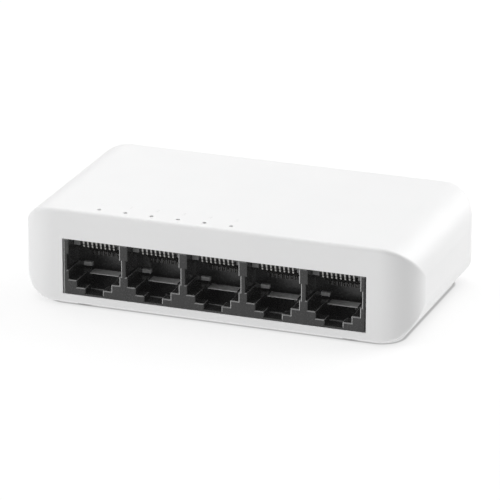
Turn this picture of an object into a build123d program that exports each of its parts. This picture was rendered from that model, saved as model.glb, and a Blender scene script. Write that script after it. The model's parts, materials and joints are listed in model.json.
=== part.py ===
from build123d import *
import math
import os

# Desktop network switch: five ports in the front, power inlet at the back, status lights in the top.
# Millimetres. +X is to the right of someone facing the ports, +Y runs to the back, +Z is up.
# Heights are measured from the case's underside; everything is lifted by the feet when it is written.
# Inside a port, x is measured from its middle line and depth from the case's front face.

# ---- case ----
case_width = 92.5
case_depth = 48.0
case_height = 21.8
wall = 1.8
corner_radius = 8.3
edge_radius = 1.0
side_trim = 0.01
parting_height = 14.3
tongue_height = 1.2
tongue_thickness = 0.8
tongue_clearance = 0.08
past = 1.0  # how far a cutting shape runs past the surface it cuts
sunk = 0.3  # how far a rib or boss is sunk into the wall it stands on

# ---- feet and label ----
foot_radius = 4.0
foot_proud = 0.6
foot_recess = 0.4
foot_x = 31.0
foot_y = 18.5
foot_clearance = 0.15
foot_edge_radius = 0.3
label_width = 42.0
label_depth = 20.0
label_thickness = 0.1
label_recess = 0.14
label_margin = 0.3
label_corner_radius = 1.5

# ---- port block ----
port_count = 5
port_pitch = 13.97
opening_width = 70.75
opening_bottom = 2.2
opening_top = 15.1
block_width = 70.2
block_bottom = 2.3
block_face_chamfer = 0.22
block_face_sharp_below = 3.0  # the slot's bottom edge stays sharp
nose_top = 15.0
nose_recess = 0.1
nose_depth = 1.9
block_depth = 15.6
block_body_width = 72.0
block_board_gap = 0.1
block_rib_thickness = 1.5
block_rib_places = (-2.0, -0.5, 0.5, 2.0)  # in port pitches
peg_radius = 1.0
peg_depth = 5.5
peg_places = (-1.5, 1.5)  # in port pitches
peg_proud = 0.4

# ---- port cavity ----
guide_half_width = 6.03
recess_half_width = 6.475
recess_bottom = 7.75
recess_top = 11.4
recess_depth = 6.0
ledge_height = 5.57
notch_half_width = 4.1
notch_bottom = 3.95
notch_depth = 6.1
slot_half_width = 2.075
slot_bottom = 2.67
slot_depth = 3.5
notch_floor = 2.85
shoulder_depth = 3.0
cavity_depth = 9.8
edge_break = 0.13  # on the long edges inside a port
stop_depth = 8.9
stop_seat = 5.92
stop_height = 6.87
stop_half_gap = 3.93
stop_clearance = 0.03
upper_room_depth = 7.5
rear_pocket = (-5.3, 5.3, 11.2, 3.6, 11.6)  # x0, x1, depth, z0, z1

# ---- pale insert of a port: a plate on the floor, and the two stops for the plug ----
plate_half_width = 3.45
plate_end = 9.0
plate_top = 5.45
plate_thickness = 0.2
plate_clearance = 0.03
plate_seat_width = 0.45

# ---- comb on the rear wall of a port ----
comb_tooth_half_width = 0.18
comb_start = 8.3
comb_bottom = 9.0

# ---- contacts ----
contacts_per_port = 8
contact_pitch = 1.016
contact_width = 0.45
contact_thickness = 0.3
contact_bend_radius = 0.3
contact_clearance = 0.04
tail_depths = (10.2, 12.74)
tail_top = 18.0
contact_run_height = 14.5
contact_front_depth = 2.95
hinge_depth = 3.33
hinge_height = 13.06
split_gap = 0.08
split_shift = 0.02
spring_bend = (3.45, 12.5)  # depth, height
spring_hook = (8.35, 9.98)
spring_tip = (8.6, 9.0)
carrier_bottom = 12.75
carrier_side_clearance = 0.08
carrier_top_clearance = 0.05
carrier_front = 3.3
carrier_bridge_front = 5.0
carrier_bridge_overlap = 0.5
carrier_raised_front = 7.6
carrier_arm_inside = 4.45
carrier_end = 13.5

# ---- board ----
board_bottom = 16.0
board_thickness = 1.2
board_width = 84.8
board_depth = 43.2
board_corner_radius = 7.0
board_top = board_bottom + board_thickness
board_screw_hole = 1.15
case_screw_hole = 1.3
peg_hole = 1.1
tail_hole = 0.42
jack_terminal_hole = 1.3

# ---- status lights ----
light_count = 6
light_first_x = -27.55
light_pitch = 6.19
light_y = -21.2
light_hole_radius = 0.48
light_half_width = 0.8
light_lens_half_width = 0.55
light_front = 0.35
light_rear = 0.45
light_base_height = 0.25
light_height = 0.6
light_lens_chamfer = 0.12
light_wall_half = 0.3
light_wall_rear = 1.6
light_wall_lift = 0.7

# ---- fastenings ----
board_screw_x = 39.0
board_screw_y = -14.0
board_boss_radius = 2.5
board_screw_bore = 1.0
board_screw_bore_top = 20.0
case_screw_x = 35.5
case_screw_y = 12.0
case_screw_seat = 11.0
case_boss_radius = 2.75
case_screw_bore = 1.075
case_screw_counterbore = 2.3
case_screw_clearance_hole = 1.15
case_boss_foot = 0.5
recess_of_cross = 0.45
cross_width = 0.5
cross_length = 2.0

# ---- power jack ----
jack_x = -24.0
jack_width = 9.0
jack_length = 14.2
jack_height = 11.0
jack_chamfer = 1.2
jack_axis_drop = 6.5
jack_bore_radius = 3.15
jack_bore_depth = 11.1
jack_pin_radius = 1.0
jack_pin_clearance = 0.02
jack_pin_setback = 1.0
jack_pin_dome = 0.6
jack_collar_radius = 4.0
jack_collar_length = 1.6
jack_collar_clearance = 0.2
jack_wall_gap = 0.1
jack_pin_slot_half = 0.9
jack_pin_slot_depth = 1.7
jack_pin_slot_drop = 1.6
jack_leaf_room_half = 1.5
jack_leaf_room = (11.4, 1.4)  # rear and front end, from the jack's face
jack_switch_room = (11.4, 9.8)
jack_switch_room_side = 2.2
jack_switch_room_rise = 2.0
jack_rib_half = 0.6
jack_rib_spread = 3.0
jack_rib_length = 12.0
terminal_half_width = 0.8
terminal_proud = 0.9
pin_strip = (0.2, 0.6, 1.2)  # start and end from the jack's rear, drop under the pin's axis
leaf_width = 2.4
leaf_thickness = 0.3
leaf_bend_radius = 0.6
leaf_root_depth = 10.1
leaf_root_rise = 4.4
leaf_bulge = (6.4, 2.5)  # from the root, above the axis
leaf_tip = (8.2, 3.5)
leaf_terminal_gap = 0.25
leaf_terminal_rise = 3.6
switch_contact_offset = 3.6
switch_contact_depth = 10.6
switch_contact_half = (0.2, 0.7)
switch_contact_rise = 2.1

# ---- parts on the board: places in x and y, sizes along x, y and z ----
standoff = 0.12
package_chamfer = 0.2
lead_thickness = 0.14
lead_lift = 0.08
chip_place = (3.0, 10.5)
chip_size = (10.0, 10.0, 1.4)
regulator_place = (-8.0, 16.5)
regulator_size = (2.9, 1.6, 1.1)
transformer_size = (12.6, 7.0, 5.4)
transformer_behind_block = 5.7
crystal_place = (18.5, 8.0)
crystal_size = (11.0, 4.4, 3.0)
crystal_flange = (11.6, 5.0, 0.6)
crystal_edge_radius = 0.5
inductor_place = (-13.5, 9.5)
inductor_size = (5.8, 5.8, 2.8)
inductor_corner = 0.9
input_capacitor = (-14.5, 17.2, 3.15, 7.7, 6.6)  # x, y, can radius, height, side of the base
output_capacitor = (14.5, 16.8, 2.5, 5.4, 5.3)
capacitor_base_height = 1.0
capacitor_edge_radius = 0.4
small_part_length = 1.6
small_part_width = 0.8
ceramic_height = 0.8
resistor_height = 0.45
resistor_y = 3.2
resistor_offsets = (-7.0, -5.6)
ceramic_places = (  # from the chip's middle, and whether the part is turned
    (-8.0, -3.5, True),
    (-8.0, 0.0, True),
    (8.0, 3.5, True),
    (-3.0, 8.0, False),
    (0.5, 8.0, False),
)

front = -case_depth / 2
back = case_depth / 2
ceiling = case_height - wall
back_wall = back - wall
jack_axis_height = board_bottom - jack_axis_drop
jack_face = back_wall - jack_wall_gap
jack_rear = jack_face - jack_length
jack_mouth = jack_face + jack_collar_length
port_centres = [port_pitch * (n - (port_count - 1) / 2) for n in range(port_count)]
contact_offsets = [contact_pitch * (n - (contacts_per_port - 1) / 2) for n in range(contacts_per_port)]
light_xs = [light_first_x + light_pitch * n for n in range(light_count)]


def block(x0, x1, y0, y1, z0, z1):
    """Box between two corners."""
    middle = Pos((x0 + x1) / 2, (y0 + y1) / 2, (z0 + z1) / 2)
    return middle * Box(x1 - x0, y1 - y0, z1 - z0)


def rod(radius, x, y, z0, z1):
    """Upright cylinder from z0 to z1."""
    return Pos(x, y, (z0 + z1) / 2) * Cylinder(radius, z1 - z0)


def rod_along_y(radius, x, z, y0, y1):
    """Cylinder that lies along Y from y0 to y1."""
    return Pos(x, (y0 + y1) / 2, z) * Rot(90, 0, 0) * Cylinder(radius, y1 - y0)


def strip(points, bend_radius, thickness, width):
    """Bent strip: its centre line is drawn in the YZ plane, and it is centred on x = 0."""
    line = FilletPolyline(*points, radius=bend_radius) if len(points) > 2 else Polyline(*points)
    return extrude(Plane.YZ * trace(line, line_width=thickness), width / 2, both=True)


def group(shapes):
    """Separate solids kept together in one node."""
    solids = []
    for shape in shapes:
        solids += list(shape.solids())
    return Compound(children=solids)


# ---- case shells ----

def rounded_block(width, depth, height, radius):
    """Block on z = 0 with rounded corners in plan and in its front outline."""
    plan = extrude(RectangleRounded(width, depth, radius), height)
    outline = extrude(Plane.XZ * Pos(0, height / 2) * RectangleRounded(width, height, radius), depth / 2, both=True)
    return plan & outline


def case_block(inset, extra_width=0.0):
    """The case's outline, moved in by inset on every side."""
    return Pos(0, 0, inset) * rounded_block(
        case_width - 2 * inset + extra_width,
        case_depth - 2 * inset,
        case_height - 2 * inset,
        corner_radius - inset,
    )


def case_outside():
    """The case's outside: softened edges, and flat sides that end the corner roundings cleanly."""
    core = case_block(edge_radius, 2 * side_trim)
    soft = offset(core, edge_radius, kind=Kind.ARC)
    half = case_width / 2
    return soft & block(-half, half, front - past, back + past, -past, case_height + past)


def slab(z0, z1):
    """Everything between two heights."""
    return block(-case_width, case_width, -case_depth, case_depth, z0, z1)


def port_opening():
    half = opening_width / 2
    return block(-half, half, front - past, front + wall + sunk, opening_bottom, opening_top)


def light_screens():
    """Thin walls under the top that keep each status light to its own hole."""
    low = board_top + light_wall_lift
    high = ceiling + sunk
    rear = light_y + light_wall_rear
    screens = []
    for n in range(light_count + 1):
        x = light_xs[0] + light_pitch * (n - 0.5)
        screens.append(block(x - light_wall_half, x + light_wall_half, front + wall - sunk, rear, low, high))
    reach = light_pitch / 2 + light_wall_half
    screens.append(block(light_xs[0] - reach, light_xs[-1] + reach, rear, rear + 2 * light_wall_half, low, high))
    return screens


def top_shell(outer, cavity):
    groove_depth = tongue_thickness + tongue_clearance
    groove_top = parting_height + tongue_height + 2 * tongue_clearance
    shell = outer - cavity
    shell = shell & slab(parting_height, case_height + past)
    shell -= case_block(wall - groove_depth) & slab(parting_height - past, groove_top)
    bosses = light_screens()
    for side in (-1, 1):
        bosses.append(rod(board_boss_radius, side * board_screw_x, board_screw_y, board_top, case_height))
        bosses.append(rod(case_boss_radius, side * case_screw_x, case_screw_y, board_top, case_height))
    for boss in bosses:
        shell += boss & outer
    for side in (-1, 1):
        low = board_top - past
        shell -= rod(board_screw_bore, side * board_screw_x, board_screw_y, low, board_screw_bore_top)
        shell -= rod(case_screw_bore, side * case_screw_x, case_screw_y, low, board_screw_bore_top)
    for x in light_xs:
        shell -= rod(light_hole_radius, x, light_y, ceiling - past, case_height + past)
    return shell - port_opening()


def bottom_shell(outer, cavity):
    shell = outer & slab(-past, parting_height)
    shell += case_block(wall - tongue_thickness) & slab(parting_height - 2 * past, parting_height + tongue_height)
    shell -= cavity
    floor = wall - sunk
    for side in (-1, 1):
        shell += rod(case_boss_radius, side * case_screw_x, case_screw_y, case_boss_foot, board_bottom)
    for place in block_rib_places:
        x = place * port_pitch
        half = block_rib_thickness / 2
        shell += block(x - half, x + half, front + wall - sunk, front + block_depth, floor, block_bottom)
    for side in (-1, 1):
        x = jack_x + side * jack_rib_spread
        shell += block(x - jack_rib_half, x + jack_rib_half, jack_face - jack_rib_length, jack_face,
                       floor, board_bottom - jack_height)
    for side in (-1, 1):
        shell -= rod(case_screw_counterbore, side * case_screw_x, case_screw_y, -past, case_screw_seat)
        shell -= rod(case_screw_clearance_hole, side * case_screw_x, case_screw_y, -past, board_bottom + past)
        for end in (-1, 1):
            shell -= rod(foot_radius + foot_clearance, side * foot_x, end * foot_y, -past, foot_recess)
    half_width = label_width / 2 + label_margin
    half_depth = label_depth / 2 + label_margin
    shell -= block(-half_width, half_width, -half_depth, half_depth, -past, label_recess)
    inlet_radius = jack_collar_radius + jack_collar_clearance
    shell -= rod_along_y(inlet_radius, jack_x, jack_axis_height, back_wall - past, back + past)
    return shell - port_opening()


# ---- ports: local x = 0 is a port's middle line, local y = 0 is the case's front face ----

def port_cavity():
    """What one port takes out of the block."""
    side = guide_half_width
    above = board_bottom + past
    seat = plate_top - plate_thickness
    plate_room = plate_half_width + plate_clearance
    tunnel = plate_half_width - plate_seat_width
    carrier_low = carrier_bottom - carrier_top_clearance
    carrier_rear = carrier_end + block_board_gap
    pocket_x0, pocket_x1, pocket_depth, pocket_low, pocket_high = rear_pocket
    parts = [
        block(-side, side, -past, stop_depth, ledge_height, opening_top),
        block(-side, side, stop_depth, cavity_depth, stop_seat, opening_top),
        block(-stop_half_gap, stop_half_gap, stop_depth, cavity_depth, seat, stop_seat),
        block(-recess_half_width, recess_half_width, -past, recess_depth, recess_bottom, recess_top),
        block(-notch_half_width, notch_half_width, -past, notch_depth, notch_bottom, ledge_height),
        block(-plate_room, plate_room, notch_depth, stop_depth, seat, ledge_height),
        block(-tunnel, tunnel, notch_depth, stop_depth, notch_floor, seat),
        block(-slot_half_width, slot_half_width, -past, slot_depth, slot_bottom, notch_bottom),
        block(-notch_half_width, notch_half_width, shoulder_depth, notch_depth, notch_floor, notch_bottom),
        block(-side, side, -past, nose_depth + sunk, recess_top, above),
        block(-side, side, carrier_front - block_board_gap, carrier_rear, carrier_low, opening_top),
        block(-side, side, upper_room_depth, carrier_rear, carrier_low, above),
        block(pocket_x0, pocket_x1, pocket_depth, block_depth + past, pocket_low, pocket_high),
    ]
    cavity = parts[0]
    for part in parts[1:]:
        cavity += part
    return cavity


def port_edge_breaks():
    """Square bars on their corners that chamfer the long edges inside one port."""
    edges = [
        (notch_half_width, ledge_height, stop_depth),
        (slot_half_width, notch_bottom, shoulder_depth),
        (guide_half_width, recess_bottom, recess_depth),
        (guide_half_width, recess_top, recess_depth),
    ]
    bars = []
    for x, z, end in edges:
        length = end + past
        side = edge_break * math.sqrt(2)
        bar = Rot(0, 45, 0) * Box(side, length, side)
        for mirror in (-1, 1):
            bars.append(Pos(mirror * x, length / 2 - past, z) * bar)
    return bars


def guide_comb():
    """Teeth on the port's rear wall that keep the contact tips apart."""
    top = carrier_bottom - 2 * carrier_top_clearance
    half = comb_tooth_half_width
    teeth = []
    for n in range(contacts_per_port + 1):
        x = contact_pitch * (n - contacts_per_port / 2)
        teeth.append(block(x - half, x + half, comb_start, cavity_depth + sunk, comb_bottom, top))
    return teeth


def port_housing():
    half_nose = block_width / 2
    half_body = block_body_width / 2
    face = front + nose_recess
    body_top = board_bottom - block_board_gap
    nose = block(-half_nose, half_nose, face, front + nose_depth + past, block_bottom, nose_top)
    body = block(-half_body, half_body, front + nose_depth, front + block_depth, block_bottom, body_top)
    housing = nose + body
    cavity = port_cavity()
    for x in port_centres:
        housing -= Pos(x, front, 0) * cavity
    face_edges = housing.faces().sort_by(Axis.Y)[0].edges()
    shown_edges = face_edges.filter_by(lambda edge: edge.center().Z > block_face_sharp_below)
    housing = chamfer(shown_edges, block_face_chamfer)
    for x in port_centres:
        for bar in port_edge_breaks():
            housing -= Pos(x, front, 0) * bar
        for tooth in guide_comb():
            housing += Pos(x, front, 0) * tooth
    for place in peg_places:
        housing += rod(peg_radius, place * port_pitch, front + peg_depth, board_bottom - sunk, board_top + peg_proud)
    return housing


def floor_insert():
    """The pale plate between the latch notch and the rear wall, and the stops at its rear corners."""
    half = plate_half_width
    start = notch_depth + plate_clearance
    inserts = [block(-half, half, start, plate_end, plate_top - plate_thickness, plate_top)]
    outside = guide_half_width - stop_clearance
    rear = cavity_depth - stop_clearance
    low = stop_seat + stop_clearance
    inserts.append(block(-outside, -stop_half_gap, stop_depth, rear, low, stop_height))
    inserts.append(block(stop_half_gap, outside, stop_depth, rear, low, stop_height))
    return inserts


def tail_depth(contact):
    """The tails stand in two rows, every other contact in the rear one."""
    return tail_depths[contact % 2]


def fixed_line(depth):
    """Centre line of a contact's fixed part: down from the board, forward, and down in front."""
    return [
        (depth, tail_top),
        (depth, contact_run_height),
        (contact_front_depth, contact_run_height),
        (hinge_depth, hinge_height),
    ]


def spring_line():
    """Centre line of a contact's sprung part, from its root to its hooked free tip."""
    return [(hinge_depth + split_shift, hinge_height - split_gap), spring_bend, spring_hook, spring_tip]


def port_tails():
    """The eight fixed contact parts of one port."""
    shapes = {}
    for depth in tail_depths:
        shapes[depth] = strip(fixed_line(depth), contact_bend_radius, contact_thickness, contact_width)
    return [Pos(x, 0, 0) * shapes[tail_depth(n)] for n, x in enumerate(contact_offsets)]


def port_contacts():
    """The eight sprung contact parts of one port."""
    spring = strip(spring_line(), contact_bend_radius, contact_thickness, contact_width)
    return [Pos(x, 0, 0) * spring for x in contact_offsets]


def port_carrier():
    """The moulded comb that holds one port's contacts."""
    side = guide_half_width - carrier_side_clearance
    low_top = opening_top - carrier_top_clearance
    high_top = board_bottom - block_board_gap
    arm_end = carrier_bridge_front + carrier_bridge_overlap
    carrier = block(-side, side, carrier_bridge_front, carrier_end, carrier_bottom, low_top)
    carrier += block(-side, side, carrier_raised_front, carrier_end, carrier_bottom, high_top)
    carrier += block(-side, -carrier_arm_inside, carrier_front, arm_end, carrier_bottom, low_top)
    carrier += block(carrier_arm_inside, side, carrier_front, arm_end, carrier_bottom, low_top)
    thickness = contact_thickness + 2 * contact_clearance
    width = contact_width + 2 * contact_clearance
    channels = {}
    for depth in tail_depths:
        channels[depth] = strip(fixed_line(depth), contact_bend_radius, thickness, width)
    for n, x in enumerate(contact_offsets):
        carrier -= Pos(x, 0, 0) * channels[tail_depth(n)]
    return carrier


# ---- circuit board ----

def main_board():
    plan = RectangleRounded(board_width, board_depth, board_corner_radius)
    board = extrude(Pos(0, 0, board_bottom) * plan, board_thickness)
    holes = []
    for side in (-1, 1):
        holes.append((board_screw_hole, side * board_screw_x, board_screw_y))
        holes.append((case_screw_hole, side * case_screw_x, case_screw_y))
    for place in peg_places:
        holes.append((peg_hole, place * port_pitch, front + peg_depth))
    for x in port_centres:
        for n, offset_x in enumerate(contact_offsets):
            holes.append((tail_hole, x + offset_x, front + tail_depth(n)))
    for x, y in jack_terminal_places():
        holes.append((jack_terminal_hole, x, y))
    for radius, x, y in holes:
        board -= rod(radius, x, y, board_bottom - past, board_top + past)
    return board


def gull_wing(reach, drop, width):
    """Bent lead that leaves a chip at y = 0 and lands on the board's lower face at y = reach."""
    line = [
        (0, board_bottom - drop),
        (reach * 0.4, board_bottom - drop),
        (reach * 0.6, board_bottom - lead_lift),
        (reach, board_bottom - lead_lift),
    ]
    return strip(line, lead_lift, lead_thickness, width)


def leaded_package(place, size, pitch, leads_x, leads_y, reach, lead_width):
    """Moulded package under the board with leads along its Y sides and, for a square one, its X sides."""
    x, y = place
    width, depth, height = size
    bottom = board_bottom - standoff - height
    body = Box(width, depth, height)
    body = chamfer(body.edges().group_by(Axis.Z)[0], package_chamfer)
    solids = [Pos(x, y, bottom + height / 2) * body]
    lead = gull_wing(reach, standoff + height / 2, lead_width)
    for n in range(leads_x):
        along = pitch * (n - (leads_x - 1) / 2)
        solids.append(Pos(x + along, y + depth / 2, 0) * lead)
        solids.append(Pos(x + along, y - depth / 2, 0) * Rot(0, 0, 180) * lead)
    for n in range(leads_y):
        along = pitch * (n - (leads_y - 1) / 2)
        solids.append(Pos(x + width / 2, y + along, 0) * Rot(0, 0, -90) * lead)
        solids.append(Pos(x - width / 2, y + along, 0) * Rot(0, 0, 90) * lead)
    return group(solids)


def hanging_can(x, y, radius, height, base_side):
    """Surface-mount capacitor under the board: square base, round can."""
    half = base_side / 2
    base_low = board_bottom - capacitor_base_height
    base = block(x - half, x + half, y - half, y + half, base_low, board_bottom)
    can = rod(radius, x, y, board_bottom - height, base_low)
    can = fillet(can.edges().group_by(Axis.Z)[0], capacitor_edge_radius)
    return group([base, can])


def crystal(x, y):
    """Oval crystal can under the board."""
    length, width, height = crystal_size
    flange_length, flange_width, flange_height = crystal_flange
    flange_low = board_bottom - flange_height
    can = extrude(Pos(x, y, flange_low - height) * SlotOverall(length, width), height)
    can = fillet(can.edges().group_by(Axis.Z)[0], crystal_edge_radius)
    flange = extrude(Pos(x, y, flange_low) * SlotOverall(flange_length, flange_width), flange_height)
    return group([can, flange])


def power_inductor(x, y):
    core = Box(*inductor_size)
    core = chamfer(core.edges().filter_by(Axis.Z), inductor_corner)
    return Pos(x, y, board_bottom - inductor_size[2] / 2) * core


def chip_parts(places, height):
    """Small two-ended parts under the board, one solid each."""
    solids = []
    for x, y, turned in places:
        length, width = small_part_length, small_part_width
        if turned:
            length, width = width, length
        solids.append(Pos(x, y, board_bottom - height / 2) * Box(length, width, height))
    return group(solids)


def status_light(x):
    """Chip light on the board's upper face: base and clear top."""
    y0 = light_y - light_front
    y1 = light_y + light_rear
    base_top = board_top + light_base_height
    base = block(x - light_half_width, x + light_half_width, y0, y1, board_top, base_top)
    lens = block(x - light_lens_half_width, x + light_lens_half_width, y0, y1, base_top, board_top + light_height)
    return group([base, chamfer(lens.edges().group_by(Axis.Z)[-1], light_lens_chamfer)])


# ---- power jack ----

def jack_terminal_places():
    """Where the power jack's terminals pass through the board: pin, leaf, switch contact."""
    strip_start, strip_end, _ = pin_strip
    return [
        (jack_x, jack_rear + (strip_start + strip_end) / 2),
        (jack_x, jack_face - leaf_root_depth - leaf_terminal_gap),
        (jack_x + switch_contact_offset, jack_face - switch_contact_depth),
    ]


def jack_housing():
    half = jack_width / 2
    above = board_bottom + past
    body = block(jack_x - half, jack_x + half, jack_rear, jack_face, board_bottom - jack_height, board_bottom)
    body = chamfer(body.edges().filter_by(Axis.Y).group_by(Axis.Z)[0], jack_chamfer)
    body += rod_along_y(jack_collar_radius, jack_x, jack_axis_height, jack_face - past, jack_mouth)
    body -= rod_along_y(jack_bore_radius, jack_x, jack_axis_height, jack_mouth - jack_bore_depth, jack_mouth + past)
    rear, end = jack_leaf_room
    body -= block(jack_x - jack_leaf_room_half, jack_x + jack_leaf_room_half, jack_face - rear, jack_face - end,
                  jack_axis_height, above)
    body -= rod_along_y(jack_pin_radius, jack_x, jack_axis_height, jack_rear - past, jack_mouth)
    body -= block(jack_x - jack_pin_slot_half, jack_x + jack_pin_slot_half, jack_rear - past,
                  jack_rear + jack_pin_slot_depth, jack_axis_height - jack_pin_slot_drop, above)
    rear, end = jack_switch_room
    body -= block(jack_x + jack_switch_room_side, jack_x + half + past, jack_face - rear, jack_face - end,
                  jack_axis_height + jack_switch_room_rise, above)
    return body


def jack_pin():
    """Centre pin with a domed tip, and the strip that carries it up to the board."""
    strip_start, strip_end, strip_drop = pin_strip
    radius = jack_pin_radius - jack_pin_clearance
    pin = rod_along_y(radius, jack_x, jack_axis_height, jack_rear + strip_end, jack_mouth - jack_pin_setback)
    pin = fillet(pin.edges().sort_by(Axis.Y)[-1], jack_pin_dome)
    half = terminal_half_width
    terminal = block(jack_x - half, jack_x + half, jack_rear + strip_start, jack_rear + strip_end,
                     jack_axis_height - strip_drop, board_top + terminal_proud)
    return pin + terminal


def leaf_line():
    """Centre line of the sprung leaf, from its root over the bulge to its tip."""
    root = jack_face - leaf_root_depth
    return [
        (root, jack_axis_height + leaf_root_rise),
        (root + leaf_bulge[0], jack_axis_height + leaf_bulge[1]),
        (root + leaf_tip[0], jack_axis_height + leaf_tip[1]),
    ]


def jack_leaf():
    return Pos(jack_x, 0, 0) * strip(leaf_line(), leaf_bend_radius, leaf_thickness, leaf_width)


def jack_leaf_terminal():
    """Fixed end of the leaf: an upright strip behind its root, up through the board."""
    y = jack_face - leaf_root_depth - leaf_terminal_gap
    half = leaf_thickness / 2
    return block(jack_x - terminal_half_width, jack_x + terminal_half_width, y - half, y + half,
                 jack_axis_height + leaf_terminal_rise, board_top + terminal_proud)


def jack_switch_contact():
    x = jack_x + switch_contact_offset
    y = jack_face - switch_contact_depth
    half_x, half_y = switch_contact_half
    return block(x - half_x, x + half_x, y - half_y, y + half_y, jack_axis_height + switch_contact_rise,
                 board_top + terminal_proud)


# ---- small case parts ----

def screw(x, y, seat, head_radius, head_height, shank_radius, length):
    """Cross-head screw that goes upwards: the head hangs below its seat."""
    head_low = seat - head_height
    head = rod(head_radius, x, y, head_low, seat)
    head = fillet(head.edges().group_by(Axis.Z)[0], head_height * 0.4)
    for width, depth in ((cross_width, cross_length), (cross_length, cross_width)):
        head -= block(x - width / 2, x + width / 2, y - depth / 2, y + depth / 2,
                      head_low - past, seat - head_height * recess_of_cross)
    shank = rod(shank_radius, x, y, seat, seat + length)
    shank = chamfer(shank.edges().group_by(Axis.Z)[-1], shank_radius * 0.4)
    return head + shank


def board_screws():
    places = [(side * board_screw_x, board_screw_y) for side in (-1, 1)]
    return group([screw(x, y, board_bottom, 1.9, 1.4, 0.98, 3.6) for x, y in places])


def case_screws():
    places = [(side * case_screw_x, case_screw_y) for side in (-1, 1)]
    return group([screw(x, y, case_screw_seat, 2.0, 1.6, 1.05, 8.6) for x, y in places])


def rubber_foot(x, y):
    foot = rod(foot_radius, x, y, -foot_proud, foot_recess)
    return fillet(foot.edges().group_by(Axis.Z)[0], foot_edge_radius)


def rating_label():
    sheet = extrude(RectangleRounded(label_width, label_depth, label_corner_radius), label_thickness)
    return Pos(0, 0, label_recess - label_thickness) * sheet


# ---- every separate piece by its name ----

def case_nodes():
    outer = case_outside()
    cavity = case_block(wall)
    nodes = {
        "top_shell": top_shell(outer, cavity),
        "bottom_shell": bottom_shell(outer, cavity),
        "rating_label": rating_label(),
        "board_screws": board_screws(),
        "case_screws": case_screws(),
    }
    corners = [(-foot_x, -foot_y), (foot_x, -foot_y), (-foot_x, foot_y), (foot_x, foot_y)]
    for n, (x, y) in enumerate(corners, start=1):
        nodes[f"rubber_foot_{n}"] = rubber_foot(x, y)
    return nodes


def port_nodes():
    nodes = {"port_housing": port_housing()}
    carrier = port_carrier()
    for n, x in enumerate(port_centres, start=1):
        place = Pos(x, front, 0)
        nodes[f"port_{n}_carrier"] = place * carrier
        nodes[f"port_{n}_floor_insert"] = group([place * insert for insert in floor_insert()])
        nodes[f"port_{n}_tails"] = group([place * wire for wire in port_tails()])
        nodes[f"port_{n}_contacts"] = group([place * wire for wire in port_contacts()])
    return nodes


def board_nodes():
    chip_x, chip_y = chip_place
    nodes = {
        "main_board": main_board(),
        "switch_chip": leaded_package(chip_place, chip_size, 0.5, 16, 16, 1.0, 0.2),
        "voltage_regulator": leaded_package(regulator_place, regulator_size, 0.95, 3, 0, 0.6, 0.4),
        "crystal": crystal(*crystal_place),
        "power_inductor": power_inductor(*inductor_place),
        "input_capacitor": hanging_can(*input_capacitor),
        "output_capacitor": hanging_can(*output_capacitor),
    }
    for n, x in enumerate(port_centres, start=1):
        place = (x, front + block_depth + transformer_behind_block)
        nodes[f"port_{n}_transformer"] = leaded_package(place, transformer_size, 1.27, 8, 0, 1.1, 0.5)
    nodes["power_light"] = status_light(light_xs[0])
    for n, x in enumerate(light_xs[1:], start=1):
        nodes[f"port_{n}_light"] = status_light(x)
    around_chip = [(chip_x + dx, chip_y + dy, turned) for dx, dy, turned in ceramic_places]
    behind_ports = [(x + dx, resistor_y, True) for x in port_centres[1:] for dx in resistor_offsets]
    nodes["ceramic_capacitors"] = chip_parts(around_chip, ceramic_height)
    nodes["resistors"] = chip_parts(behind_ports, resistor_height)
    return nodes


def jack_nodes():
    return {
        "power_jack_housing": jack_housing(),
        "power_jack_pin": jack_pin(),
        "power_jack_leaf": jack_leaf(),
        "power_jack_leaf_terminal": jack_leaf_terminal(),
        "power_jack_switch_contact": jack_switch_contact(),
    }


os.makedirs("parts", exist_ok=True)
for nodes in (case_nodes(), port_nodes(), board_nodes(), jack_nodes()):
    for name, shape in nodes.items():
        export_step(Pos(0, 0, foot_proud) * shape, f"parts/{name}.step")
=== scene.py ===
import json
import math

import bpy
from mathutils import Euler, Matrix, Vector


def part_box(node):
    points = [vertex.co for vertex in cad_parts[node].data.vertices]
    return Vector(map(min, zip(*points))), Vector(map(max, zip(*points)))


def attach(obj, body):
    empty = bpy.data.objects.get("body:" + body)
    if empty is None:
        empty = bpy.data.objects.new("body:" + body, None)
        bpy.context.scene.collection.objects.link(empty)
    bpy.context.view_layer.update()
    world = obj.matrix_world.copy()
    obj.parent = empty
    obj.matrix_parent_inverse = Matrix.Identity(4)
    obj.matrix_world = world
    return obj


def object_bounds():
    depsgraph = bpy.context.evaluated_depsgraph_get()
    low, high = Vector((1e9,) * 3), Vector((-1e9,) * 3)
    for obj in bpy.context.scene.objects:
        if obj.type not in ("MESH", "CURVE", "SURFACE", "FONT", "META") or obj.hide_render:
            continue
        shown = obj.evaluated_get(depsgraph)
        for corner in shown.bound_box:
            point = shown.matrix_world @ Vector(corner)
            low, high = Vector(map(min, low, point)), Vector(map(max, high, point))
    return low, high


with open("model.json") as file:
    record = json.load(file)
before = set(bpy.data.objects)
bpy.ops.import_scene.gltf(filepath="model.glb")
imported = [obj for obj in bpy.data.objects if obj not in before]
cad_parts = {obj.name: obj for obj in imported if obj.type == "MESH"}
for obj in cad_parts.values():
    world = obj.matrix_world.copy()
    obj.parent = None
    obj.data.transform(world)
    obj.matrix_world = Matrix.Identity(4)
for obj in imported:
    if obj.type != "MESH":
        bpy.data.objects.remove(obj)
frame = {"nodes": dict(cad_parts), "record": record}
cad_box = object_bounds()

# Desktop network switch. Lengths are in metres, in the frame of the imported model:
# +X to the right of someone facing the ports, +Y to the back, +Z up, feet on z = 0.
MM = 0.001
NODES = frame["nodes"]
PORTS = range(1, 6)

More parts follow.
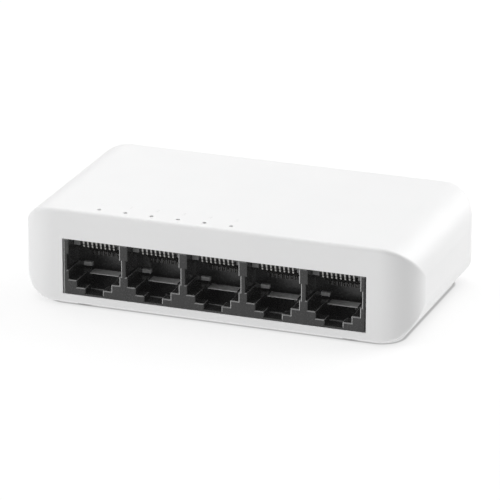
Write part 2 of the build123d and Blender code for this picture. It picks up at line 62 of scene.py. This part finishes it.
# ---- camera and studio ----
CAMERA_AZIMUTH = math.radians(20.253)
CAMERA_ELEVATION = math.radians(20.01)
CAMERA_LENS = 303.75
CAMERA_PLACE = Vector((305.8, -829.0, 331.0)) * MM
WORLD_LIGHT = 0.0
LIGHT_DISTANCE = 1.2
# name, azimuth and elevation in degrees, size, power
SOFTBOXES = (
    ("top_box", 0, 90, 1.2, 9.2),
    ("right_back_box", 140, 30, 0.9, 10.85),
    ("left_front_box", -45, 20, 0.9, 4.8),
    ("camera_box", 10, 25, 0.5, 0.6),
    ("left_top_box", -90, 55, 0.8, 2.2),
    ("left_back_box", -135, 35, 0.9, 2.5),
)

# ---- floor ----
FLOOR_HALF_SIZE = 3.0
FLOOR_GLOW = 0.745
# the foot line is where the case seems to stand: a rounded rectangle, as deep as the case and a little
# narrower. Its corner radius, how far it is inside the case's sides, and how far it is moved to the right.
FOOT_CORNER = 7.0 * MM
SIDE_TUCK = 3.1 * MM
FOOT_SHIFT = 0.5 * MM
# painted contact shadow: the glow loses this share at the foot line, less by a factor e every CONTACT_REACH
# outwards, and more inwards until CONTACT_INSET
PAINTED_CONTACT_SHADOW = 0.09
CONTACT_REACH = 1.9 * MM
CONTACT_INSET = 2.5 * MM
# painted shadow line under the case's lower edge: share lost on a thin line inside the foot line, and
# distances from the foot line where that line starts, is darkest from, is darkest to, and ends
PAINTED_SHADOW_LINE = 0.45
PAINTED_SHADOW_LINE_PLACES = (-2.15 * MM, -1.8 * MM, -1.55 * MM, -1.1 * MM)

# ---- inside a port ----
# painted highlights on edges that catch the light: x from the port's middle and height of the two that run
# back, depth from the case front and height of the one across the latch slot
LEDGE_EDGE = (4.1 * MM, 6.17 * MM)
SHOULDER_EDGE = (2.075 * MM, 4.55 * MM)
SLOT_STEP = (3.5 * MM, 3.45 * MM)
# share of the painted highlight on the latch slot's step
SLOT_STEP_HIGHLIGHT = 0.5
EDGE_BAND = 0.2 * MM
# a face counts as slanted when no part of its normal is over the first, and as square over the second
SLANTED = (0.85, 0.98)
# an edge facing up counts for this much of one facing left, and edges get the painted highlight between these
# two
UP_WEIGHT = 0.35
LIT_FROM = 0.05
LIT_FULLY = 0.7
# colour of the painted highlights on the black moulding's edges
EDGE_HIGHLIGHT_COLOR = (0.60, 0.60, 0.60)
# strength of a painted glow on the black moulding, standing in for light scattered into the ports
PAINTED_SCATTER_GLOW = 0.0035
# painted light: the carrier is painted paler to this depth, and right of this x to this depth
ARM_END = 4.7 * MM
LIT_END_X = 3.1 * MM
LIT_END_DEPTH = 5.1 * MM
LIT_ARM_COLOR = (0.17, 0.17, 0.17)

# ---- soft edges ----
# width of the port block's soft edges
HOUSING_EDGE = 0.11 * MM
# last part of a port node's name, and width of its soft edges
PORT_EDGES = (
    ("carrier", 0.06 * MM),
    ("floor_insert", 0.05 * MM),
    ("contacts", 0.10 * MM),
    ("tails", 0.10 * MM),
)
EDGE_SEGMENTS = 2
EDGE_ANGLE = math.radians(35)
FLAT_ANGLE = math.radians(0.5)
WELD_DISTANCE = 0.0005 * MM

# ---- printed marks ----
# distance behind the status lights
MARK_SETBACK = 3.6 * MM
NUMBER_SIZE = 2.0 * MM
NUMBER_THICKNESS = 0.004 * MM
POWER_RADIUS = 0.85 * MM
POWER_STROKE = 0.09 * MM
POWER_SINK = 0.08 * MM
POWER_GAP = math.radians(38)
POWER_STEPS = 28
POWER_BAR = (0.25, 1.2)  # start and end, in ring radii


# ---------------------------------------------------------------- materials

class Shader:
    """A node material with one principled shader, and short calls for the nodes around it."""

    def __init__(self, name, color, roughness, metallic=0.0):
        self.material = bpy.data.materials.new(name)
        self.material.use_nodes = True
        self.tree = self.material.node_tree
        self.bsdf = self.tree.nodes["Principled BSDF"]
        self.bsdf.inputs["Base Color"].default_value = (*color, 1.0)
        self.bsdf.inputs["Roughness"].default_value = roughness
        self.bsdf.inputs["Metallic"].default_value = metallic
        self.material.diffuse_color = (*color, 1.0)
        self.place = self.node("ShaderNodeTexCoord").outputs["Object"]

    def node(self, kind, **settings):
        made = self.tree.nodes.new(kind)
        for key, value in settings.items():
            setattr(made, key, value)
        return made

    def link(self, start, end):
        self.tree.links.new(start, end)

    def noise(self, feature_size, detail=2.0, stretch=(1.0, 1.0, 1.0)):
        """Noise whose blobs are about feature_size across."""
        scaled = self.node("ShaderNodeMapping")
        scaled.inputs["Scale"].default_value = stretch
        self.link(self.place, scaled.inputs["Vector"])
        texture = self.node("ShaderNodeTexNoise")
        texture.inputs["Scale"].default_value = 1.0 / feature_size
        texture.inputs["Detail"].default_value = detail
        self.link(scaled.outputs["Vector"], texture.inputs["Vector"])
        return texture.outputs["Fac"]

    def ranged(self, value, low, high, start=0.3, end=0.7):
        """A value moved from start..end to low..high."""
        mapped = self.node("ShaderNodeMapRange")
        mapped.inputs["From Min"].default_value = start
        mapped.inputs["From Max"].default_value = end
        mapped.inputs["To Min"].default_value = low
        mapped.inputs["To Max"].default_value = high
        self.link(value, mapped.inputs["Value"])
        return mapped.outputs["Result"]

    def tint(self, value, first, second):
        """Base colour that runs between two colours as value goes from 0 to 1."""
        ramp = self.node("ShaderNodeMix", data_type="RGBA")
        ramp.inputs["A"].default_value = (*first, 1.0)
        ramp.inputs["B"].default_value = (*second, 1.0)
        self.link(value, ramp.inputs["Factor"])
        self.link(ramp.outputs["Result"], self.bsdf.inputs["Base Color"])

    def lighten(self, mask, color):
        """Blend the base colour towards another one where the mask is 1."""
        base = self.bsdf.inputs["Base Color"].links[0].from_socket
        blend = self.node("ShaderNodeMix", data_type="RGBA")
        self.link(mask, blend.inputs["Factor"])
        self.link(base, blend.inputs["A"])
        blend.inputs["B"].default_value = (*color, 1.0)
        self.link(blend.outputs["Result"], self.bsdf.inputs["Base Color"])

    def vary_roughness(self, value, low, high):
        self.link(self.ranged(value, low, high), self.bsdf.inputs["Roughness"])

    def math(self, operation, value, number):
        """Arithmetic on a value and a constant."""
        made = self.node("ShaderNodeMath", operation=operation)
        made.inputs[1].default_value = number
        self.link(value, made.inputs[0])
        return made.outputs["Value"]

    def vector_math(self, operation, value, constant=(0.0, 0.0, 0.0)):
        made = self.node("ShaderNodeVectorMath", operation=operation)
        made.inputs[1].default_value = constant
        self.link(value, made.inputs[0])
        return made.outputs["Vector"]

    def axes(self, vector):
        """The x, y and z of a vector."""
        split = self.node("ShaderNodeSeparateXYZ")
        self.link(vector, split.inputs["Vector"])
        return [split.outputs[axis] for axis in "XYZ"]

    def near_line(self, first, second, place):
        """1 within half of EDGE_BAND of a line seen end on, 0 outside the band."""
        offset = self.node("ShaderNodeCombineXYZ")
        self.link(self.math("SUBTRACT", first, place[0]), offset.inputs["X"])
        self.link(self.math("SUBTRACT", second, place[1]), offset.inputs["Y"])
        length = self.node("ShaderNodeVectorMath", operation="LENGTH")
        self.link(offset.outputs["Vector"], length.inputs[0])
        return self.ranged(length.outputs["Value"], 1.0, 0.0, EDGE_BAND / 2, EDGE_BAND)

    def place_in_port(self):
        """Distance to the right of the nearest port's middle, depth from the case front, and height."""
        x, y, z = self.axes(self.node("ShaderNodeNewGeometry").outputs["Position"])
        pitch = centre("port_4_floor_insert").x - centre("port_3_floor_insert").x
        port = self.math("ROUND", self.math("DIVIDE", x, pitch), 0.0)
        across = self.pair("SUBTRACT", x, self.math("MULTIPLY", port, pitch))
        return across, self.math("SUBTRACT", y, cad_box[0][1]), z

    def port_edges(self):
        """Mask of painted highlights: 1 along the right-hand long edges in every port, the slot step's share
        along the latch slot's step.
        """
        across, depth, z = self.place_in_port()
        ledge = self.near_line(across, z, LEDGE_EDGE)
        shoulder = self.near_line(across, z, SHOULDER_EDGE)
        in_slot = self.math("LESS_THAN", self.absolute(across), SHOULDER_EDGE[0])
        step = self.pair("MULTIPLY", self.near_line(depth, z, SLOT_STEP), in_slot)
        step = self.math("MULTIPLY", step, SLOT_STEP_HIGHLIGHT)
        return self.pair("MAXIMUM", self.pair("MAXIMUM", ledge, shoulder), step)

    def lit_edges(self):
        """Mask of painted highlights: 1 on rounded and chamfered edges that face up or left, 0 on faces
        square to the axes.
        """
        x, y, z = self.axes(self.node("ShaderNodeNewGeometry").outputs["Normal"])
        sideways = self.pair("MAXIMUM", self.absolute(x), self.absolute(y))
        squareness = self.pair("MAXIMUM", sideways, self.absolute(z))
        slanted = self.ranged(squareness, 1.0, 0.0, *SLANTED)
        left = self.math("MAXIMUM", self.math("MULTIPLY", x, -1.0), 0.0)
        up = self.math("MULTIPLY", z, UP_WEIGHT)
        facing = self.ranged(self.pair("MAXIMUM", left, up), 0.0, 1.0, LIT_FROM, LIT_FULLY)
        return self.pair("MULTIPLY", slanted, facing)

    def absolute(self, value):
        return self.math("ABSOLUTE", value, 0.0)

    def pair(self, operation, first, second):
        """Arithmetic on two values."""
        made = self.node("ShaderNodeMath", operation=operation)
        self.link(first, made.inputs[0])
        self.link(second, made.inputs[1])
        return made.outputs["Value"]

    def bump(self, value, height, strength=1.0):
        """Relief of the given height in metres."""
        relief = self.node("ShaderNodeBump")
        relief.inputs["Distance"].default_value = height
        relief.inputs["Strength"].default_value = strength
        self.link(value, relief.inputs["Height"])
        self.link(relief.outputs["Normal"], self.bsdf.inputs["Normal"])


def white_shell():
    """Moulded white plastic with a fine spark-eroded grain."""
    shader = Shader("white_shell", (0.88, 0.88, 0.88), 0.42)
    cloud = shader.noise(14 * MM, 3.0)
    shader.tint(shader.ranged(cloud, 0.0, 1.0), (0.874, 0.875, 0.876), (0.888, 0.888, 0.888))
    grain = shader.noise(0.16 * MM, 3.0)
    shader.vary_roughness(grain, 0.38, 0.50)
    shader.bump(grain, 0.004 * MM, 0.6)
    shader.bsdf.inputs["Specular IOR Level"].default_value = 0.45
    return shader.material


def black_moulding():
    """Glass-filled black moulding: faint flow marks, painted highlights on its edges and a faint painted glow
    for scattered light.
    """
    shader = Shader("black_moulding", (0.014, 0.014, 0.014), 0.25)
    flow = shader.noise(1.6 * MM, 4.0, (1.0, 1.0, 0.35))
    shader.tint(shader.ranged(flow, 0.0, 1.0), (0.016, 0.016, 0.016), (0.026, 0.026, 0.026))
    # painted highlights: port edges and slanted edges facing left or up are lightened in colour
    shader.lighten(shader.port_edges(), EDGE_HIGHLIGHT_COLOR)
    shader.lighten(shader.lit_edges(), EDGE_HIGHLIGHT_COLOR)
    # painted glow standing in for scattered light
    shader.bsdf.inputs["Emission Color"].default_value = (1.0, 1.0, 1.0, 1.0)
    shader.bsdf.inputs["Emission Strength"].default_value = PAINTED_SCATTER_GLOW
    grain = shader.noise(0.5 * MM, 4.0)
    shader.vary_roughness(grain, 0.18, 0.32)
    shader.bump(grain, 0.006 * MM, 0.5)
    shader.bsdf.inputs["Specular IOR Level"].default_value = 0.55
    return shader.material


def carrier_resin():
    """Dark grey moulding with painted light: paler on its arms and right end than on the bridge behind the
    contacts.
    """
    shader = Shader("carrier_resin", (0.02, 0.02, 0.02), 0.4)
    specks = shader.noise(0.3 * MM, 3.0)
    shader.tint(shader.ranged(specks, 0.0, 1.0), (0.014, 0.014, 0.014), (0.024, 0.024, 0.024))
    across, depth, _ = shader.place_in_port()
    # painted light on the arms near the front and on the right end, where light falls
    arms = shader.math("LESS_THAN", depth, ARM_END)
    on_right = shader.math("GREATER_THAN", across, LIT_END_X)
    in_reach = shader.math("LESS_THAN", depth, LIT_END_DEPTH)
    right_end = shader.pair("MULTIPLY", on_right, in_reach)
    shader.lighten(shader.pair("MAXIMUM", arms, right_end), LIT_ARM_COLOR)
    shader.bump(specks, 0.005 * MM, 0.6)
    return shader.material


def plated_metal(name, color, roughness, streak=(1.0, 0.15, 0.15)):
    """Plated strip with fine rolling marks."""
    shader = Shader(name, color, roughness, 1.0)
    marks = shader.noise(0.10 * MM, 2.0, streak)
    shader.vary_roughness(marks, roughness * 0.7, roughness * 1.4)
    tone = shader.noise(1.2 * MM, 2.0)
    darker = tuple(part * 0.86 for part in color)
    shader.tint(shader.ranged(tone, 0.0, 1.0), darker, color)
    shader.bump(marks, 0.002 * MM, 0.5)
    return shader.material


def board_laminate():
    """Green solder resist over copper tracks."""
    shader = Shader("board_laminate", (0.02, 0.16, 0.07), 0.3)
    tracks = shader.node("ShaderNodeTexBrick")
    tracks.inputs["Scale"].default_value = 1.0
    tracks.inputs["Brick Width"].default_value = 3.4 * MM
    tracks.inputs["Row Height"].default_value = 0.8 * MM
    tracks.inputs["Mortar Size"].default_value = 0.16 * MM
    tracks.inputs["Mortar Smooth"].default_value = 0.1
    shader.link(shader.place, tracks.inputs["Vector"])
    shader.tint(tracks.outputs["Fac"], (0.012, 0.10, 0.045), (0.03, 0.20, 0.085))
    shader.bump(tracks.outputs["Fac"], 0.03 * MM, 0.8)
    return shader.material


def speckled(name, dark, light, speck_size, roughness, relief):
    """Dense material with fine specks: resin, ferrite, ceramic or rubber."""
    shader = Shader(name, light, roughness)
    specks = shader.noise(speck_size, 3.0)
    shader.tint(shader.ranged(specks, 0.0, 1.0, 0.35, 0.65), dark, light)
    shader.vary_roughness(specks, roughness * 0.85, min(1.0, roughness * 1.15))
    shader.bump(specks, relief, 0.6)
    return shader.material


def light_lens():
    """Clear resin over a pale die carrier."""
    shader = Shader("light_lens", (0.78, 0.84, 0.72), 0.12)
    shader.tint(shader.ranged(shader.noise(0.4 * MM), 0.0, 1.0), (0.70, 0.78, 0.62), (0.82, 0.87, 0.76))
    shader.bsdf.inputs["Transmission Weight"].default_value = 0.35
    shader.bsdf.inputs["Coat Weight"].default_value = 0.5
    return shader.material


def printed_mark():
    """Pale grey pad-printed ink."""
    shader = Shader("printed_mark", (0.80, 0.80, 0.80), 0.5)
    wear = shader.noise(0.25 * MM, 3.0)
    shader.tint(shader.ranged(wear, 0.0, 1.0), (0.79, 0.79, 0.79), (0.83, 0.83, 0.83))
    return shader.material


def floor_paper():
    """Seamless paper that glows, so that it is white and shows only faint shadows, with a painted contact
    shadow and a painted dark line along the case's foot line.
    """
    shader = Shader("floor_paper", (0.25, 0.25, 0.25), 0.8)
    cloud = shader.noise(40 * MM)
    shader.tint(shader.ranged(cloud, 0.0, 1.0), (0.248, 0.248, 0.248), (0.252, 0.252, 0.252))
    shader.bsdf.inputs["Specular IOR Level"].default_value = 0.1
    shader.bsdf.inputs["Emission Color"].default_value = (1.0, 1.0, 1.0, 1.0)
    # painted contact shadow and painted shadow line, taken off the glow near the foot line
    distance = shader.math("MAXIMUM", distance_from_foot_line(shader), -CONTACT_INSET)
    fade = shader.math("EXPONENT", shader.math("MULTIPLY", distance, -1.0 / CONTACT_REACH), 0.0)
    painted_shadow = shader.math("MULTIPLY", fade, -PAINTED_CONTACT_SHADOW)
    inner, peak_start, peak_end, outer = PAINTED_SHADOW_LINE_PLACES
    rise = shader.ranged(distance, 0.0, -PAINTED_SHADOW_LINE, inner, peak_start)
    fall = shader.ranged(distance, 1.0, 0.0, peak_end, outer)
    line = shader.pair("MULTIPLY", rise, fall)
    share = shader.math("ADD", shader.pair("ADD", painted_shadow, line), 1.0)
    glow = shader.math("MULTIPLY", share, FLOOR_GLOW)
    shader.link(glow, shader.bsdf.inputs["Emission Strength"])
    return shader.material


def distance_from_foot_line(shader):
    """Distance on the floor from the foot line, negative inside it."""
    low, high = cad_box
    half_width = (high[0] - low[0]) / 2 - SIDE_TUCK
    half_depth = (high[1] - low[1]) / 2
    inner = (half_width - FOOT_CORNER, half_depth - FOOT_CORNER, 0.0)
    from_middle = shader.vector_math("SUBTRACT", shader.place, (FOOT_SHIFT, 0.0, 0.0))
    folded = shader.vector_math("ABSOLUTE", from_middle)
    outside = shader.vector_math("MAXIMUM", shader.vector_math("SUBTRACT", folded, inner))
    length = shader.node("ShaderNodeVectorMath", operation="LENGTH")
    shader.link(outside, length.inputs[0])
    return shader.math("SUBTRACT", length.outputs["Value"], FOOT_CORNER)


# name, dark and light grey or colour, speck size, roughness, relief
SPECKLED = (
    ("pale_plate", (0.66, 0.66, 0.66), (0.78, 0.78, 0.78), 0.6 * MM, 0.45, 0.006 * MM),
    ("chip_resin", (0.018, 0.018, 0.019), (0.034, 0.034, 0.035), 0.15 * MM, 0.6, 0.01 * MM),
    ("ferrite", (0.05, 0.05, 0.052), (0.10, 0.10, 0.105), 0.2 * MM, 0.7, 0.015 * MM),
    ("ceramic", (0.42, 0.30, 0.19), (0.52, 0.40, 0.27), 0.2 * MM, 0.5, 0.01 * MM),
    ("foot_rubber", (0.46, 0.46, 0.46), (0.54, 0.54, 0.54), 0.3 * MM, 0.85, 0.03 * MM),
    ("label_film", (0.78, 0.78, 0.77), (0.84, 0.84, 0.83), 0.3 * MM, 0.4, 0.004 * MM),
)


def slot_materials():
    """One material for each material slot of the record."""
    materials = {
        "white_shell": white_shell(),
        "black_moulding": black_moulding(),
        "carrier_resin": carrier_resin(),
        "contact_metal": plated_metal("contact_metal", (0.40, 0.395, 0.385), 0.28),
        "terminal_metal": plated_metal("terminal_metal", (0.76, 0.76, 0.75), 0.32),
        "can_metal": plated_metal("can_metal", (0.80, 0.81, 0.82), 0.25, (1.0, 1.0, 0.1)),
        "screw_steel": plated_metal("screw_steel", (0.62, 0.62, 0.61), 0.35),
        "board_laminate": board_laminate(),
        "light_lens": light_lens(),
    }
    for name, *look in SPECKLED:
        materials[name] = speckled(name, *look)
    return materials


def paint(piece, material):
    piece.data.materials.clear()
    piece.data.materials.append(material)


def paint_nodes(materials):
    """Every CAD node takes the material of its slot."""
    for part in frame["record"]["subparts"]:
        paint(NODES[part["node"]], materials[part["material_slot"]])


# ---------------------------------------------------------------- edges of the mouldings

def soften_edges(node, width):
    """Small rounded edges on a CAD node, as a mould leaves them. The node's own mesh isn't changed."""
    piece = NODES[node]
    weld = piece.modifiers.new("join_faces", "WELD")
    weld.merge_threshold = WELD_DISTANCE
    flat = piece.modifiers.new("flat_faces", "DECIMATE")
    flat.decimate_type = "DISSOLVE"
    flat.angle_limit = FLAT_ANGLE
    bevel = piece.modifiers.new("soft_edges", "BEVEL")
    bevel.width = width
    bevel.segments = EDGE_SEGMENTS
    bevel.limit_method = "ANGLE"
    bevel.angle_limit = EDGE_ANGLE
    bevel.harden_normals = True


# ---------------------------------------------------------------- printed marks

def printed_number(number, x, y, z, material):
    curve = bpy.data.curves.new(f"mark_{number}", "FONT")
    curve.body = str(number)
    curve.size = NUMBER_SIZE
    curve.align_x = "CENTER"
    curve.align_y = "CENTER"
    curve.extrude = NUMBER_THICKNESS
    mark = bpy.data.objects.new(f"mark_{number}", curve)
    bpy.context.scene.collection.objects.link(mark)
    mark.location = (x, y, z)
    curve.materials.append(material)
    return mark


def power_mark(x, y, z, material):
    """Broken ring with an upright bar."""
    curve = bpy.data.curves.new("mark_power", "CURVE")
    curve.dimensions = "3D"
    curve.bevel_depth = POWER_STROKE
    ring = curve.splines.new("POLY")
    ring.points.add(POWER_STEPS)
    for n, point in enumerate(ring.points):
        turn = math.pi / 2 + POWER_GAP + (2 * math.pi - 2 * POWER_GAP) * n / POWER_STEPS
        point.co = (x + POWER_RADIUS * math.cos(turn), y + POWER_RADIUS * math.sin(turn), z, 1.0)
    bar = curve.splines.new("POLY")
    bar.points.add(1)
    for point, height in zip(bar.points, POWER_BAR):
        point.co = (x, y + POWER_RADIUS * height, z, 1.0)
    mark = bpy.data.objects.new("mark_power", curve)
    bpy.context.scene.collection.objects.link(mark)
    curve.materials.append(material)
    return mark


def printed_marks():
    """A power sign and the port numbers, behind the pin-holes of the status lights."""
    ink = printed_mark()
    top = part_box("top_shell")[1].z
    mark_y = centre("power_light").y + MARK_SETBACK
    marks = [power_mark(centre("power_light").x, mark_y, top - POWER_SINK, ink)]
    for n in PORTS:
        x = centre(f"port_{n}_light").x
        marks.append(printed_number(n, x, mark_y, top + NUMBER_THICKNESS, ink))
    for mark in marks:
        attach(mark, "case")


def centre(node):
    low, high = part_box(node)
    return (low + high) / 2


# ---------------------------------------------------------------- studio

def add_floor():
    mesh = bpy.data.meshes.new("floor")
    half = FLOOR_HALF_SIZE
    corners = [(-half, -half, 0), (half, -half, 0), (half, half, 0), (-half, half, 0)]
    mesh.from_pydata(corners, [], [(0, 1, 2, 3)])
    floor = bpy.data.objects.new("floor", mesh)
    bpy.context.scene.collection.objects.link(floor)
    mesh.materials.append(floor_paper())


def add_softbox(name, azimuth, elevation, size, power):
    """Square area light that looks at the object from a direction, in degrees; azimuth 0 is in front."""
    turn = math.radians(azimuth)
    rise = math.radians(elevation)
    light = bpy.data.lights.new(name, "AREA")
    light.shape = "SQUARE"
    light.size = size
    light.energy = power
    lamp = bpy.data.objects.new(name, light)
    bpy.context.scene.collection.objects.link(lamp)
    out = Vector((math.sin(turn) * math.cos(rise), -math.cos(turn) * math.cos(rise), math.sin(rise)))
    lamp.location = out * LIGHT_DISTANCE
    lamp.rotation_euler = out.to_track_quat("Z", "Y").to_euler()


def add_world():
    world = bpy.data.worlds.new("studio")
    bpy.context.scene.world = world
    world.use_nodes = True
    background = world.node_tree.nodes["Background"]
    background.inputs["Color"].default_value = (1.0, 1.0, 1.0, 1.0)
    background.inputs["Strength"].default_value = WORLD_LIGHT


def add_camera():
    camera_data = bpy.data.cameras.new("camera")
    camera_data.lens = CAMERA_LENS
    camera_data.sensor_width = 36.0
    camera_data.clip_start = 0.05
    camera_data.clip_end = 20.0
    camera = bpy.data.objects.new("camera", camera_data)
    bpy.context.scene.collection.objects.link(camera)
    camera.location = CAMERA_PLACE
    camera.rotation_euler = Euler((math.pi / 2 - CAMERA_ELEVATION, 0.0, CAMERA_AZIMUTH))
    bpy.context.scene.camera = camera


add_camera()
add_world()
add_floor()
for softbox in SOFTBOXES:
    add_softbox(*softbox)
bpy.context.scene.view_settings.view_transform = "Standard"

paint_nodes(slot_materials())
soften_edges("port_housing", HOUSING_EDGE)
for n in PORTS:
    for ending, width in PORT_EDGES:
        soften_edges(f"port_{n}_{ending}", width)
printed_marks()
